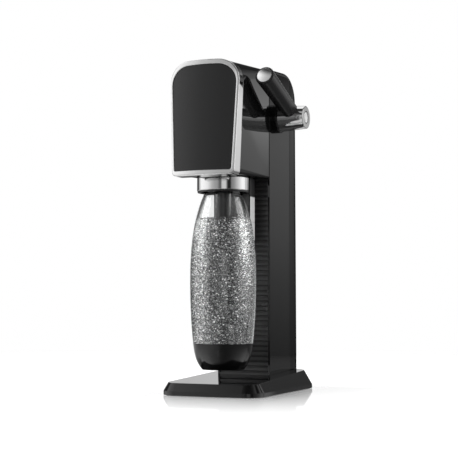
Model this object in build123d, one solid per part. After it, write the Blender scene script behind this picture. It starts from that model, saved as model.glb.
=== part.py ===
import os
from math import cos, radians, sin, tan

from build123d import *

# Soda carbonator in millimetres: +X to the lever side, +Y to the rear, +Z up, table at z = 0.
# The pieces are drawn about the symmetry plane x = 0 and placed on the footprint's centre at the end.

# Base
base_width = 133.5            # across the rear, at the upright band
base_front_width = 135.5      # across the front
base_depth = 222.0
base_bow = 2.0                # bulge of the front edge
base_front_radius = 22.0
base_rear_radius = 30.0
base_band = 4.9               # upright band above the feet
base_lean = 30.0              # degrees, inward lean of the walls above the band
base_front_height = 15.4      # deck height at the front edge
base_rear_height = 25.5       # deck height at the rear edge
base_wall = 3.0
foot_gap = 0.6                # air under the base
foot_radius = 8.0
foot_sink = 1.4               # depth of a foot's pocket in the bottom plate
foot_chamfer = 0.4
foot_inset_x = 24.0           # foot centre from the side of the base
foot_inset_y = 28.0           # foot centre from the front or rear of the base
bottom_plate = 2.5
screw_share = 0.5             # screw's distance from the middle as a share of the foot's
screw_radius = 2.0
screw_head_radius = 4.0
screw_head = 1.2
screw_bite = 4.0              # shank above the bottom plate
screw_spare = 1.0             # hole deeper than the shank
boss_radius = 4.0

# Column
stand_height = 430.0          # table to the crown of the column
column_width = 74.4
column_front = 6.7            # front face from the middle of the base
column_rear = 107.6           # rear face below the crown
column_rear_foot = 110.8      # rear face at the table
column_wall = 2.5
column_edge_radius = 6.5      # rounding of the crown and rear edges
crown_radius = 38.0           # rounding from the crown to the rear face
crown_slope = 3.9             # degrees, rise of the crown towards the rear
cover_seam = 80.0             # plane where the rear cover meets the column
cover_gap = 0.6
cover_lip = 3.5               # reach of the cover's tongues into the column
cover_lip_wall = 1.5
cover_lip_foot = 60.0         # lower end of the tongues above the table
cover_lip_head = 20.0         # upper end of the tongues below the crown's rounding
cover_web = 4.0               # thickness of the web that carries a tongue
rib_pitch = 6.6
rib_depth = 1.8
rib_land = 3.4                # flat top of a rib
rib_flank = 0.9               # height of a rib's sloping side
rib_sink = 0.3                # ribs behind the column's front edge
rib_back = 3.1                # thickness behind the ribs
ledge_width = 4.0
ledge_thickness = 2.0
window_side = 6.0             # opening from the column into the head, inside the column's walls
window_foot = 12.0            # its lower edge above the head's underside
window_head = 15.0            # its upper edge below the crown

# Head
head_height = 149.0           # crown above the lower edge of the head's sides
head_wall = 2.5
head_low_radius = 0.4         # lower corners of the head's section
head_seam_width = 2.4         # groove where the head's sides meet the column
head_seam_depth = 1.2
head_rear_radius = 14.4       # upper corners of the head's section at the column
head_rear_arch = 1.0          # rise of the head's top edge at the column
bezel_rear = -104.0           # plane where the bezel meets the housing
bezel_front = -124.5          # foremost point of the bowed front
bezel_drop = 8.5              # bezel below the lower edge of the head's sides
bezel_crown_drop = 0.9        # bezel's top below the line of the crown
bezel_top_width = 96.0
bezel_bottom_width = 84.2
bezel_top_radius = 27.0
bezel_bottom_radius = 6.0
bezel_edge = 1.6              # rounding of the bezel's front edge
bezel_rim = 3.4               # width of the rim beside the panel
bezel_rail = 6.2              # width of the rim above and below the panel
bezel_ledge = 3.0             # step that carries the panel
front_bow_radius = 205.0
front_lean = 2.0              # degrees, the front face looks slightly upwards
panel_sink = 0.8              # panel face behind the bezel face
panel_thickness = 3.0
panel_corner = 2.6            # lower corners of the panel
housing_inset = 1.6           # housing inside the bezel's outline
housing_crown_inset = 0.2
crown_arch = 2.5              # rise of the top edge across its width
tray_depth = 6.5              # underside tray below the head's sides
tray_rise = 4.0               # tray's underside higher at the column
tray_round = 3.6              # its lower side edges
tray_inset = 0.2              # tray inside the housing's outline
tray_wall = 2.2
tray_floor = 6.0
holder_side_gap = 2.0         # air round the collar in the tray
holder_swing = 6.0            # more air in front of it, for the tilt

# Lever
hub_y = 31.1
hub_drop = 68.9               # hub axis below the crown
hub_end = 80.2                # outer end of the hub from the symmetry plane
flange_radius = 19.0
flange_thickness = 7.6
flange_edge = 1.5
barrel_root_radius = 17.4
barrel_end_radius = 15.0
barrel_edge = 1.2             # rounding of the barrel's outer end
barrel_web = 3.0              # wall between the shaft's bore and the cap
cap_radius = 8.8
cap_depth = 2.0
cap_sink = 0.5                # cap's face behind the barrel's end
cap_groove_outer = 6.6
cap_groove_inner = 4.2
cap_groove = 0.6
shaft_radius = 5.0
shaft_spare = 1.0             # air at the ends of the shaft
grip_x = 60.0
grip_root_radius = 11.2
grip_end_radius = 12.4
grip_root_ahead = 15.4        # root of the grip in front of the hub axis
grip_root_above = 10.7
grip_length = 88.5
grip_sink = 18.0              # grip's neck inside the barrel
grip_rise = 19.95             # degrees above level at rest
grip_edge = 1.6
grip_cap_radius = 9.6
grip_cap_thickness = 1.4
grip_cap_proud = 0.4
cam_radius = 12.0
cam_offset = 4.0              # eccentricity of the cam
cam_width = 8.0
lever_travel = 45.0           # degrees from rest to fully pulled
cam_clearance = 0.2

# Gas side
cylinder_side = 4.7           # air between the cylinder and the column's wall
cylinder_y = 58.0
cylinder_rise = 12.0          # cylinder's foot above the deck
cylinder_dome = 24.0
cylinder_neck_radius = 12.0
cylinder_collar = 2.0         # straight end of the neck
cylinder_foot_round = 5.0
cylinder_wall = 2.6
cylinder_bore = 7.0           # bore of the neck
cylinder_dome_out = 0.72      # share of the dome's width at its middle point
cylinder_dome_up = 0.66       # share of the dome's height there
stem_height = 16.0            # cylinder valve between the neck and the shelf
stem_radius = 11.0
stem_nut = 6.0
seat_wall = 2.0
seat_depth = 6.0
shelf_thickness = 4.0
shelf_ahead = 11.0            # front edge of the shelf before the hub axis
shelf_clear = 1.5             # air between the shelf and the cover's tongues
neck_clearance = 1.0
cheek_thickness = 3.5
cheek_behind = 17.0           # rear edge of a cheek behind the hub axis
cheek_rise = 21.0             # top of a cheek above the hub axis
cheek_sink = 1.0              # cheek into the shelf
valve_drop = 31.0             # valve's seat below the hub axis
valve_width = 30.0
valve_depth = 26.0
valve_height = 44.0
valve_corner = 4.0
plunger_radius = 4.0
plunger_length = 15.0
plunger_show = 5.2            # plunger in front of the valve at rest
relief_radius = 5.0
relief_height = 11.0
relief_rim = 1.5
relief_rim_from = 2.0
relief_rim_to = 5.0
bush_radius = 9.0
bush_flange_radius = 11.5
bush_flange = 2.5
tube_radius = 2.2
tube_x = 10.0
tube_drop = 21.0              # tube below the hub axis
tube_bend = 12.0
tube_corner_y = -10.0

# Bottle and its holder
collar_room = 10.6            # collar behind the bezel's rear plane
bottle_foot = 31.5            # bottom of the bottle above the table
bottle_rise = 2.0             # bottle's mouth above the lower edge of the head's sides
foot_ring_radius = 26.5
cup_bulge_radius = 33.2
cup_bulge_height = 10.5
cup_rim_radius = 38.05
cup_height = 33.0
belly_radius = 42.0
belly_share = 0.516           # belly's place between the cup's rim and the waist
waist_radius = 37.6
waist_drop = 48.5             # waist below the root of the neck
shoulder_radius = 31.4
shoulder_drop = 21.5          # shoulder below the root of the neck
neck_root_radius = 23.2
neck_flare = 7.0              # height of the cone under the neck
neck_radius = 18.4
neck_length = 18.5
neck_wall = 2.0
bottle_wall = 1.3
cup_wall = 1.5
seal_thickness = 4.0
seal_inset = 0.5
nozzle_radius = 11.8
nozzle_point_radius = 6.5
nozzle_shank = 62.0           # straight part below the holder
nozzle_taper = 12.0
tip_radius = 4.4
tip_length = 10.0
tip_round = 1.5
collar_side = 3.8             # collar inside the column's width
collar_wall = 3.0
collar_height = 16.4
collar_drop = 7.0             # collar's top below the lower edge of the head's sides
collar_chamfer = 0.8
lip_height = 1.8
lip_inset = 0.7
lip_bore_inset = 1.0
ring_height = 20.0
ring_inset = 1.4              # holder ring inside the collar's outline
neck_gap = 1.8                # holder ring's bore round the neck
clip_gap = 0.6                # clip round the neck
clip_height = 9.0
block_rise = 3.0              # nozzle block above the holder ring
block_flange = 3.0            # flange of the nozzle block on the ring
block_round = 1.2
pivot_behind = 18.0           # pivot behind the bottle's axis
pivot_rise = 10.5             # pivot above the lower edge of the head's sides
pivot_radius = 2.5
pin_root = 4.0                # pin's inner end outside the ring's bore
pin_short = 0.2
ear_length = 11.0
ear_height = 10.0
ear_root = 1.0
lug_gap = 0.6
lug_side = 1.0                # lug inside the head's wall
lug_thickness = 4.0
lug_length = 10.0
lug_above = 5.5               # lug above the pivot
arm_width = 45.2
arm_behind = 35.5             # arm's front behind the bottle's axis
arm_depth = 16.0
arm_reach = 84.0              # arm's foot below the lower edge of the head's sides
arm_seam_drop = 60.4          # seam between the arm and its shoe
arm_corner = 1.2
arm_hollow = 3.4              # air between the arm and the bottle's waist
bridge = 10.0                 # thickness of the bridge from ring to arm
bridge_width = 40.0
bridge_drop = 7.0             # bridge below the ring's top

# Fits
running = 0.05                # radial clearance of a turning or sliding fit
snug = 0.1                    # clearance of pieces that sit in each other
part_gap = 0.3                # air between bodies that pass each other
least_radius = 1.0            # smallest corner of an inset section
spare = 10.0                  # cutting tools longer than the cut
beyond = 400.0                # reach of cutting tools past the object

base_front = -base_depth / 2
base_rear = base_depth / 2
deck_slope = (base_rear_height - base_front_height) / base_depth
column_half = column_width / 2
crown_y = column_rear - crown_radius
crown_z = stand_height - crown_radius
head_floor = stand_height - head_height
bezel_bottom = head_floor - bezel_drop
tray_bottom = head_floor - tray_depth
pivot_floor = tray_bottom + tray_floor
hub_z = stand_height - hub_drop
barrel_root = column_half + flange_thickness + part_gap
grip_dir = Vector(0, -cos(radians(grip_rise)), sin(radians(grip_rise)))
grip_root = Vector(grip_x, hub_y - grip_root_ahead, hub_z + grip_root_above)
cam_start = radians(-90 - lever_travel / 2)
plunger_face = hub_y + cam_radius + cam_offset * cos(cam_start) + cam_clearance
plunger_travel = 2 * cam_offset * sin(radians(lever_travel / 2))
valve_seat = hub_z - valve_drop
valve_front = plunger_face + plunger_show
valve_rear = valve_front + valve_depth
shelf_rear = cover_seam - cover_lip - shelf_clear
cylinder_radius = column_half - column_wall - cylinder_side
cylinder_neck = valve_seat - stem_height
cylinder_shoulder = cylinder_neck - cylinder_dome
collar_radius = column_half - collar_side
bottle_y = bezel_rear + collar_room + collar_radius
bottle_top = head_floor + bottle_rise
neck_base = bottle_top - neck_length
neck_root = neck_base - neck_flare
shoulder_z = neck_root - shoulder_drop
waist_z = neck_root - waist_drop
cup_rim_z = bottle_foot + cup_height
belly_z = cup_rim_z + (waist_z - cup_rim_z) * belly_share
collar_bore = collar_radius - collar_wall
collar_top = head_floor - collar_drop
collar_bottom = collar_top - collar_height
ring_top = collar_top + ring_height
ring_bore = neck_radius + neck_gap
block_bottom = bottle_top + seal_thickness
nozzle_waist = block_bottom - nozzle_shank
nozzle_point = nozzle_waist - nozzle_taper
pivot_y = bottle_y + pivot_behind
pivot_z = head_floor + pivot_rise
lug_end = column_half - head_wall - lug_side
lug_start = lug_end - lug_thickness
ear_end = lug_start - lug_gap
bridge_top = ring_top - bridge_drop
arm_front = bottle_y + arm_behind
arm_rear = arm_front + arm_depth
arm_seam = head_floor - arm_seam_drop
arm_foot = head_floor - arm_reach


def deck(y):
    return base_front_height + (y - base_front) * deck_slope


def crown(y):
    slope = radians(crown_slope)
    touch_y = crown_y - crown_radius * sin(slope)
    touch_z = crown_z + crown_radius * cos(slope)
    return touch_z + (y - touch_y) * tan(slope)


def rod_x(radius, x_from, x_to, y, z):
    plane = Plane((x_from, y, z), x_dir=(0, 1, 0), z_dir=(1, 0, 0))
    return extrude(plane * Circle(radius), x_to - x_from)


def rod_z(radius, z_from, z_to, x, y):
    return Pos(x, y, z_from) * extrude(Circle(radius), z_to - z_from)


def ring_z(outer, inner, z_from, z_to, x, y):
    return rod_z(outer, z_from, z_to, x, y) - rod_z(inner, z_from - spare, z_to + spare, x, y)


def block(x_from, x_to, y_from, y_to, z_from, z_to):
    size = (x_to - x_from, y_to - y_from, z_to - z_from)
    centre = Pos((x_from + x_to) / 2, (y_from + y_to) / 2, (z_from + z_to) / 2)
    return centre * Box(*size)


def turned(points, y):
    profile = make_face(Polyline(*points, close=True))
    return Pos(0, y, 0) * revolve(Plane.XZ * profile, Axis.Z)


def under_deck(lowered):
    outline = Polyline(
        (-beyond, -beyond),
        (beyond, -beyond),
        (beyond, deck(beyond) - lowered),
        (-beyond, deck(-beyond) - lowered),
        close=True,
    )
    return extrude(Plane.YZ * make_face(outline), beyond, both=True)


# Base


def base_outline(inset):
    front = base_front + base_bow + inset
    rear = base_rear - inset
    half_front = base_front_width / 2 - inset
    half_rear = base_width / 2 - inset
    edges = [
        ThreePointArc((-half_front, front), (0, front - base_bow), (half_front, front)),
        Line((half_front, front), (half_rear, rear)),
        Line((half_rear, rear), (-half_rear, rear)),
        Line((-half_rear, rear), (-half_front, front)),
    ]
    outline = make_face(edges)
    outline = fillet(outline.vertices().group_by(Axis.Y)[0], base_front_radius - inset)
    rear_corners = outline.vertices().group_by(Axis.Y)[-1]
    return fillet(rear_corners, base_rear_radius - inset)


def column_footprint():
    depth = column_rear_foot - column_front
    plan = Pos(0, column_front + depth / 2) * Rectangle(column_width, depth)
    return fillet(plan.vertices().group_by(Axis.Y)[-1], column_edge_radius)


def base_block(inset, lowered):
    outline = base_outline(inset)
    lean_from = foot_gap + base_band
    band = Pos(0, 0, foot_gap) * extrude(outline, base_band)
    lean = Pos(0, 0, lean_from) * extrude(outline, base_rear_height - lean_from, taper=base_lean)
    return (band + lean) & under_deck(lowered)


def foot_places():
    x = base_width / 2 - foot_inset_x
    y = base_rear - foot_inset_y
    return [(sx * x, sy * y) for sx in (-1, 1) for sy in (-1, 1)]


def screw_places():
    return [(x * screw_share, y) for x, y in foot_places()]


def make_base_shell():
    heel = Pos(0, 0, foot_gap) * extrude(column_footprint(), base_rear_height * 2)
    shell = base_block(0, 0) + (heel & under_deck(0))
    shell -= base_block(base_wall, base_wall)
    plate_top = foot_gap + bottom_plate
    for x, y in screw_places():
        shell += rod_z(boss_radius, plate_top, beyond, x, y) & under_deck(base_wall / 2)
        shell -= rod_z(screw_radius + snug, 0, plate_top + screw_bite + screw_spare, x, y)
    return shell


def make_bottom_plate():
    plate = Pos(0, 0, foot_gap) * extrude(base_outline(base_wall + snug), bottom_plate)
    for x, y in foot_places():
        plate -= rod_z(foot_radius + snug, 0, foot_gap + foot_sink, x, y)
    for x, y in screw_places():
        plate -= rod_z(screw_radius + snug, 0, beyond, x, y)
        plate -= rod_z(screw_head_radius + snug, 0, foot_gap + screw_head, x, y)
    return plate


def make_feet():
    foot = extrude(Circle(foot_radius), foot_gap + foot_sink)
    foot = chamfer(foot.edges().group_by(Axis.Z)[0], foot_chamfer)
    return [Pos(x, y, 0) * foot for x, y in foot_places()]


def make_screws():
    head = extrude(Circle(screw_head_radius), screw_head)
    screw = head + extrude(Circle(screw_radius), bottom_plate + screw_bite)
    return [Pos(x, y, foot_gap) * screw for x, y in screw_places()]


# Column


def column_block(inset):
    front = column_front + inset
    rear = column_rear - inset
    radius = crown_radius - inset
    slope = radians(crown_slope)
    touch = (crown_y - radius * sin(slope), crown_z + radius * cos(slope))
    turn = radians(crown_slope + 90) / 2 - slope
    middle = (crown_y + radius * sin(turn), crown_z + radius * cos(turn))
    corner = (front, touch[1] - (touch[0] - front) * tan(slope))
    foot = (column_rear_foot - inset, 0)
    edges = [
        Line((front, 0), corner),
        Line(corner, touch),
        ThreePointArc(touch, middle, (rear, crown_z)),
        Line((rear, crown_z), foot),
        Line(foot, (front, 0)),
    ]
    half = column_half - inset
    solid = extrude(Plane.YZ * make_face(edges), half, both=True)
    rims = []
    for edge in solid.edges():
        middle = edge.center()
        on_side = abs(abs(middle.X) - half) < snug
        if on_side and middle.Y > front + snug and middle.Z > snug:
            rims.append(edge)
    return fillet(rims, column_edge_radius - inset)


def make_column_shell():
    inner = column_half - column_wall
    front_wall = column_front + column_wall
    shell = column_block(0) - column_block(column_wall)
    shell &= block(-beyond, beyond, -beyond, cover_seam, 0, beyond + stand_height)
    shell -= under_deck(0)
    shell -= block(-inner, inner, 0, front_wall, 0, head_floor)
    window = inner - window_side
    window_top = crown(column_front) - window_head
    shell -= block(-window, window, 0, front_wall, head_floor + window_foot, window_top)
    ledge_front = column_front + rib_sink + rib_depth + rib_back + snug
    for side in (-1, 1):
        low, high = sorted((side * inner, side * (inner - ledge_width)))
        ledge = block(low, high, ledge_front, ledge_front + ledge_thickness, 0, head_floor)
        shell += ledge - under_deck(0)
    return shell - rod_x(shaft_radius + part_gap * 2, 0, beyond, hub_y, hub_z)


def make_ribbed_panel():
    half = column_half - column_wall - snug
    front = column_front + rib_sink
    root = front + rib_depth
    back = root + rib_back
    top = head_floor - snug
    points = []
    z = top - rib_land
    while z > 0:
        points += [(front, z + rib_land), (front, z), (root, z - rib_flank)]
        z -= rib_pitch
        points.append((root, z + rib_land + rib_flank))
    points += [(front, 0), (back, 0), (back, top)]
    panel = extrude(Plane.YZ * make_face(Polyline(*points, close=True)), half, both=True)
    return panel - under_deck(0)


def make_rear_cover():
    start = cover_seam + cover_gap
    inner = column_half - column_wall
    outer = inner - part_gap
    lip_top = crown_z - cover_lip_head
    web_from = start + cover_web
    web_to = web_from + cover_web
    shell = column_block(0) - column_block(column_wall)
    shell &= block(-beyond, beyond, start, beyond, 0, beyond + stand_height)
    for side in (-1, 1):
        low, high = sorted((side * outer, side * (outer - cover_lip_wall)))
        shell += block(low, high, cover_seam - cover_lip, web_to, cover_lip_foot, lip_top)
        low, high = sorted((side * (outer - cover_lip_wall), side * (inner + part_gap)))
        shell += block(low, high, web_from, web_to, cover_lip_foot, lip_top)
    return shell - under_deck(-part_gap)


# Head


def shield(width_top, width_bottom, z_bottom, z_top, arch, radius_top, radius_bottom):
    half_top = width_top / 2
    half_bottom = width_bottom / 2
    shoulder = z_top - arch
    edges = [
        Line((-half_bottom, z_bottom), (half_bottom, z_bottom)),
        Line((half_bottom, z_bottom), (half_top, shoulder)),
        ThreePointArc((half_top, shoulder), (0, z_top), (-half_top, shoulder)),
        Line((-half_top, shoulder), (-half_bottom, z_bottom)),
    ]
    outline = make_face(edges)
    outline = fillet(outline.vertices().group_by(Axis.Y)[-1], radius_top)
    low = outline.vertices().group_by(Axis.Y)[0]
    return fillet(low, radius_bottom)


def bezel_shield(inset_side, inset_end):
    return shield(
        bezel_top_width - 2 * inset_side,
        bezel_bottom_width - 2 * inset_side,
        bezel_bottom + inset_end,
        crown(bezel_rear) - bezel_crown_drop - inset_end,
        crown_arch,
        bezel_top_radius - inset_side,
        max(bezel_bottom_radius - inset_side, least_radius),
    )


def front_bow(sink):
    middle = (bezel_bottom + crown(bezel_rear)) / 2
    axis_y = bezel_front + front_bow_radius
    drum = extrude(Circle(front_bow_radius - sink), beyond, both=True)
    return Pos(0, axis_y, middle) * Rot(-front_lean, 0, 0) * drum


def prism(outline, y_from, y_to):
    return extrude(Plane.XZ.offset(-y_to) * outline, y_to - y_from)


def make_bezel():
    front = bezel_front - spare
    solid = prism(bezel_shield(0, 0), front, bezel_rear) & front_bow(0)
    solid = fillet(solid.faces().sort_by(Axis.Y)[0].outer_wire().edges(), bezel_edge)
    pocket = prism(bezel_shield(bezel_rim - snug, bezel_rail - snug), front, bezel_rear)
    solid -= pocket - front_bow(panel_sink + panel_thickness)
    ledge = bezel_shield(bezel_rim + bezel_ledge, bezel_rail + bezel_ledge)
    return solid - prism(ledge, front, bezel_rear + spare)


def make_front_panel():
    slab = prism(bezel_shield(bezel_rim, bezel_rail), bezel_front - spare, bezel_rear)
    return (slab & front_bow(panel_sink)) - front_bow(panel_sink + panel_thickness)


def head_form(inset, floor, rise=0, low_radius=head_low_radius):
    front_inset = housing_inset + inset
    front_section = shield(
        bezel_top_width - 2 * front_inset,
        bezel_bottom_width - 2 * front_inset,
        floor,
        crown(bezel_rear) - housing_crown_inset - inset,
        crown_arch,
        bezel_top_radius - front_inset,
        low_radius,
    )
    rear_section = shield(
        column_width - 2 * inset,
        column_width - 2 * inset,
        floor + rise,
        crown(column_front) + head_rear_arch - inset,
        crown_arch,
        head_rear_radius - inset,
        low_radius,
    )
    sections = [
        Plane.XZ.offset(-bezel_rear) * front_section,
        Plane.XZ.offset(-column_front) * rear_section,
    ]
    return loft(sections, ruled=True)


def make_head_housing():
    housing = head_form(0, head_floor) - head_form(head_wall, head_floor - spare)
    start = column_front - head_seam_width
    for side in (-1, 1):
        low, high = sorted((side * (column_half - head_seam_depth), side * beyond))
        housing -= block(low, high, start, column_front, head_floor, stand_height)
    return housing


def holder_opening():
    reach = collar_radius + holder_side_gap
    ahead = bottle_y - holder_swing
    half_arm = arm_width / 2 + holder_side_gap
    opening = rod_z(reach, 0, beyond, 0, bottle_y) + rod_z(reach, 0, beyond, 0, ahead)
    opening += block(-reach, reach, ahead, bottle_y, 0, beyond)
    return opening + block(-half_arm, half_arm, bottle_y, arm_rear + holder_side_gap, 0, beyond)


def make_head_underside():
    tray = head_form(tray_inset, tray_bottom, tray_rise, tray_round)
    tray -= head_form(tray_inset + tray_wall, pivot_floor)
    tray &= block(-beyond, beyond, -beyond, beyond, tray_bottom, head_floor)
    return tray - holder_opening()


def make_pivot_lugs():
    half = lug_length / 2
    lugs = []
    for side in (-1, 1):
        low, high = sorted((side * lug_start, side * lug_end))
        lug = block(low, high, pivot_y - half, pivot_y + half, pivot_floor, pivot_z + lug_above)
        lugs.append(lug - rod_x(pivot_radius + running, -beyond, beyond, pivot_y, pivot_z))
    return lugs


# Lever


def make_hub_flange():
    disc = rod_x(flange_radius, column_half, column_half + flange_thickness, hub_y, hub_z)
    disc = fillet(disc.edges().group_by(Axis.X)[-1], flange_edge)
    return disc - rod_x(shaft_radius + part_gap, 0, beyond, hub_y, hub_z)


def barrel_solid():
    profile = Polyline(
        (0, barrel_root),
        (barrel_root_radius, barrel_root),
        (barrel_end_radius, hub_end),
        (0, hub_end),
        close=True,
    )
    turned_up = revolve(Plane.XZ * make_face(profile), Axis.Z)
    turned_up = fillet(turned_up.edges().group_by(Axis.Z)[-1], barrel_edge)
    return Pos(0, hub_y, hub_z) * Rot(0, 90, 0) * turned_up


def make_barrel():
    cap_seat = hub_end - cap_depth
    barrel = barrel_solid() - rod_x(cap_radius + snug, cap_seat, beyond, hub_y, hub_z)
    return barrel - rod_x(shaft_radius + running, 0, cap_seat - barrel_web, hub_y, hub_z)


def make_hub_cap():
    face = hub_end - cap_sink
    cap = rod_x(cap_radius, hub_end - cap_depth, face, hub_y, hub_z)
    groove = rod_x(cap_groove_outer, face - cap_groove, beyond, hub_y, hub_z)
    groove -= rod_x(cap_groove_inner, 0, beyond + spare, hub_y, hub_z)
    return cap - groove


def grip_plane(distance):
    return Plane(grip_root + grip_dir * distance, x_dir=(1, 0, 0), z_dir=grip_dir)


def make_grip():
    points = [
        (0, -grip_sink),
        (grip_root_radius, -grip_sink),
        (grip_root_radius, 0),
        (grip_end_radius, grip_length),
        (0, grip_length),
    ]
    form = turned(points, 0)
    form = fillet(form.edges().group_by(Axis.Z)[-1], grip_edge)
    grip = grip_plane(0).location * form
    pocket = grip_plane(grip_length - grip_cap_thickness + grip_cap_proud)
    grip -= extrude(pocket * Circle(grip_cap_radius + snug), beyond)
    return grip - barrel_solid()


def make_grip_cap():
    plane = grip_plane(grip_length - grip_cap_thickness + grip_cap_proud)
    return extrude(plane * Circle(grip_cap_radius), grip_cap_thickness)


def make_shaft():
    left = -(column_half - column_wall - shaft_spare)
    right = hub_end - cap_depth - barrel_web - shaft_spare
    return rod_x(shaft_radius, left, right, hub_y, hub_z)


def make_cam():
    y = hub_y + cam_offset * cos(cam_start)
    z = hub_z + cam_offset * sin(cam_start)
    disc = rod_x(cam_radius, -cam_width / 2, cam_width / 2, y, z)
    return disc - rod_x(shaft_radius + running, -beyond, beyond, hub_y, hub_z)


def make_bushes():
    outer = column_half - column_wall - snug
    inner = outer - cheek_thickness
    bushes = []
    for side in (-1, 1):
        low, high = sorted((side * inner, side * outer))
        bush = rod_x(bush_radius, low, high, hub_y, hub_z)
        low, high = sorted((side * inner, side * (inner - bush_flange)))
        bush += rod_x(bush_flange_radius, low, high, hub_y, hub_z)
        bushes.append(bush - rod_x(shaft_radius + running, -beyond, beyond, hub_y, hub_z))
    return bushes


# Gas side


def make_inner_frame():
    half = column_half - column_wall - snug
    front = hub_y - shelf_ahead
    frame = block(-half, half, front, shelf_rear, valve_seat - shelf_thickness, valve_seat)
    for side in (-1, 1):
        low, high = sorted((side * half, side * (half - cheek_thickness)))
        rear = hub_y + cheek_behind
        frame += block(low, high, front, rear, valve_seat - cheek_sink, hub_z + cheek_rise)
    frame -= rod_z(cylinder_neck_radius + neck_clearance, 0, beyond, 0, cylinder_y)
    return frame - rod_x(bush_radius + snug, -beyond, beyond, hub_y, hub_z)


def make_valve_body():
    half = valve_width / 2
    body = block(-half, half, valve_front, valve_rear, valve_seat, valve_seat + valve_height)
    body = fillet(body.edges().filter_by(Axis.Z), valve_corner)
    bore_plane = Plane((0, valve_front - spare, hub_z), z_dir=(0, 1, 0))
    bore_end = plunger_face + plunger_length + plunger_travel + part_gap
    return body - extrude(bore_plane * Circle(plunger_radius + running), bore_end - valve_front + spare)


def make_plunger():
    plane = Plane((0, plunger_face, hub_z), z_dir=(0, 1, 0))
    return extrude(plane * Circle(plunger_radius), plunger_length)


def make_relief_valve():
    top = valve_seat + valve_height
    y = (valve_front + valve_rear) / 2
    stem = rod_z(relief_radius, top, top + relief_height, 0, y)
    return stem + rod_z(relief_radius + relief_rim, top + relief_rim_from, top + relief_rim_to, 0, y)


def make_gas_tube():
    level = hub_z - tube_drop
    lug_x = -(lug_start + lug_end) / 2
    path = FilletPolyline(
        (-tube_x, valve_front, level),
        (-tube_x, tube_corner_y, level),
        (lug_x, pivot_y, level),
        (lug_x, pivot_y, pivot_z + lug_above),
        radius=tube_bend,
    )
    start = Plane((-tube_x, valve_front, level), z_dir=(0, -1, 0))
    return sweep(start * Circle(tube_radius), path=path)


def cylinder_form(inset):
    r = cylinder_radius - inset
    neck = cylinder_neck_radius - inset
    foot = deck(cylinder_y) + cylinder_rise + inset
    lip = cylinder_foot_round
    shoulder = cylinder_shoulder - inset
    top = cylinder_neck - inset
    dome_end = top - cylinder_collar
    middle = (
        neck + (r - neck) * cylinder_dome_out,
        shoulder + (dome_end - shoulder) * cylinder_dome_up,
    )
    edges = [
        Line((0, foot), (r - lip, foot)),
        Line((r - lip, foot), (r, foot + lip)),
        Line((r, foot + lip), (r, shoulder)),
        ThreePointArc((r, shoulder), middle, (neck, dome_end)),
        Line((neck, dome_end), (neck, top)),
        Line((neck, top), (0, top)),
        Line((0, top), (0, foot)),
    ]
    return Pos(0, cylinder_y, 0) * revolve(Plane.XZ * make_face(edges), Axis.Z)


def make_cylinder():
    bottle = cylinder_form(0) - cylinder_form(cylinder_wall)
    return bottle - rod_z(cylinder_bore, cylinder_shoulder, beyond, 0, cylinder_y)


def make_cylinder_valve():
    stem = rod_z(stem_radius, cylinder_neck, valve_seat, 0, cylinder_y)
    nut = extrude(RegularPolygon(cylinder_neck_radius, 6), stem_nut)
    return stem + Pos(0, cylinder_y, cylinder_neck) * nut


def make_cylinder_seat():
    foot = deck(cylinder_y) + cylinder_rise
    outer = cylinder_radius + part_gap + seat_wall
    cup = rod_z(outer, 0, foot + seat_depth, 0, cylinder_y) - under_deck(0)
    return cup - rod_z(cylinder_radius + part_gap, foot, beyond, 0, cylinder_y)


# Bottle and holder


def bottle_envelope(inset):
    foot = bottle_foot + inset
    top = (neck_root_radius - inset, neck_root)
    outline = Spline(
        (foot_ring_radius - inset, foot),
        (cup_bulge_radius - inset, bottle_foot + cup_bulge_height),
        (cup_rim_radius - inset, cup_rim_z),
        (belly_radius - inset, belly_z),
        (waist_radius - inset, waist_z),
        (shoulder_radius - inset, shoulder_z),
        top,
    )
    edges = [
        Line((0, foot), (foot_ring_radius - inset, foot)),
        outline,
        Line(top, (0, neck_root)),
        Line((0, neck_root), (0, foot)),
    ]
    return Pos(0, bottle_y, 0) * revolve(Plane.XZ * make_face(edges), Axis.Z)


def neck_form(inset, top):
    points = [
        (0, neck_root),
        (neck_root_radius - inset, neck_root),
        (neck_radius - inset, neck_base),
        (neck_radius - inset, top),
        (0, top),
    ]
    return turned(points, bottle_y)


def make_bottle():
    upper = block(-beyond, beyond, -beyond, beyond, cup_rim_z, beyond)
    body = bottle_envelope(cup_wall) + (bottle_envelope(0) & upper) + neck_form(0, bottle_top)
    hollow = bottle_envelope(cup_wall + bottle_wall) + neck_form(neck_wall, bottle_top + spare)
    return body - hollow


def make_bottle_cup():
    lower = block(-beyond, beyond, -beyond, beyond, -beyond, cup_rim_z)
    return (bottle_envelope(0) & lower) - bottle_envelope(cup_wall)


def make_holder_ring():
    ring = rod_z(collar_radius - ring_inset, collar_top, ring_top, 0, bottle_y)
    ring &= block(-ear_end, ear_end, -beyond, beyond, 0, beyond)
    half_height = ear_height / 2
    for side in (-1, 1):
        low, high = sorted((side * (ring_bore + block_flange + ear_root), side * ear_end))
        ear_y = (pivot_y - ear_length / 2, pivot_y + ear_length / 2)
        ring += block(low, high, *ear_y, pivot_z - half_height, pivot_z + half_height)
    half = bridge_width / 2
    ring += block(-half, half, bottle_y, arm_rear, bridge_top - bridge, bridge_top)
    ring -= rod_z(ring_bore, 0, beyond, 0, bottle_y)
    return ring - rod_x(pivot_radius + running, -beyond, beyond, pivot_y, pivot_z)


def make_collar():
    collar = ring_z(collar_radius, collar_bore, collar_bottom, collar_top, 0, bottle_y)
    outer = collar.edges().group_by(Axis.Z)[0].sort_by(SortBy.RADIUS)[-1]
    return chamfer(outer, collar_chamfer)


def make_collar_lip():
    outer = collar_radius - lip_inset
    inner = collar_bore - lip_bore_inset
    return ring_z(outer, inner, collar_bottom - lip_height, collar_bottom, 0, bottle_y)


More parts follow.
